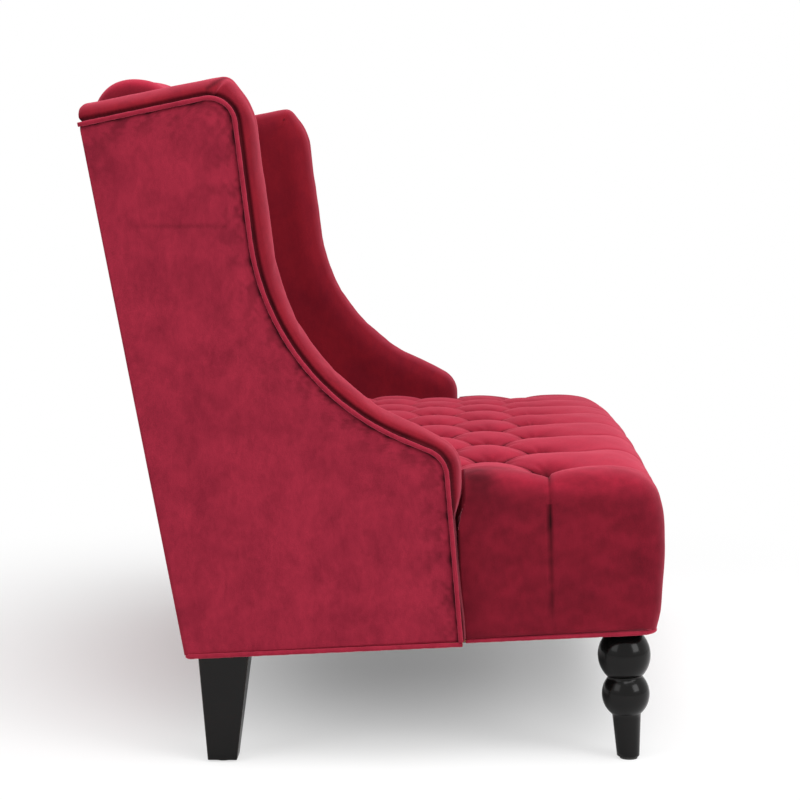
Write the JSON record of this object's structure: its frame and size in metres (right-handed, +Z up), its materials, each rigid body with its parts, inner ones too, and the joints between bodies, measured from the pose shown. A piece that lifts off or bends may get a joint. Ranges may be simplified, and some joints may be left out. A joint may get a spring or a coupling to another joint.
{
  "type": "high back settee",
  "caption": "High back settee in velvet with a diamond-tufted seat and back, swept wings, piped side panels, turned front legs and tapered rear legs.",
  "frame": {"origin": "on the floor, midway along the settee and midway from front to back", "axes": "+X along the settee to the viewer's right when seen from the front, +Y to the rear, +Z up; the front faces -Y"},
  "size_m": [1.2696, 0.8441, 1.0061],
  "materials": {
    "velvet_tufted": "cotton velvet, cut pile, brushed, over foam",
    "velvet_wing": "cotton velvet, cut pile, over wadding",
    "velvet_panel": "cotton velvet, cut pile, drawn flat",
    "velvet_piping": "velvet piping over cord",
    "black_lacquer": "beech, black satin lacquer",
    "webbing": "woven elastic webbing",
    "felt": "needled grey felt",
    "dust_cloth": "black spun dust cloth",
    "glide_plastic": "moulded nylon glide",
    "zinc_steel": "bright zinc plate",
    "plywood": "birch plywood, bare",
    "hardwood": "kiln-dried hardwood, bare"
  },
  "bodies": {
    "root": {"arm_post_left": "hardwood", "arm_post_right": "hardwood", "back_base_welt": "velvet_piping", "back_lower_rail": "hardwood", "back_post_left": "hardwood", "back_post_right": "hardwood", "back_top_rail": "hardwood", "back_uprights": "hardwood", "back_webbing": "webbing", "corner_blocks": "hardwood", "dust_cover": "dust_cloth", "front_leg_left": "black_lacquer", "front_leg_right": "black_lacquer", "hanger_bolts": "zinc_steel", "inside_back": "velvet_tufted", "leg_glides": "glide_plastic", "outside_back": "velvet_panel", "rear_leg_left": "black_lacquer", "rear_leg_right": "black_lacquer", "seat_back_rail": "hardwood", "seat_base_welt": "velvet_piping", "seat_cross_rails": "hardwood", "seat_cushion": "velvet_tufted", "seat_felt": "felt", "seat_front_rail": "hardwood", "seat_side_rail_left": "hardwood", "seat_side_rail_right": "hardwood", "seat_webbing": "webbing", "side_panel_left": "velvet_panel", "side_panel_right": "velvet_panel", "side_welt_left": "velvet_piping", "side_welt_right": "velvet_piping", "tee_nuts": "zinc_steel", "wing_frame_left": "plywood", "wing_frame_right": "plywood", "wing_pad_left": "velvet_wing", "wing_pad_right": "velvet_wing"}
  },
  "joints": []
}
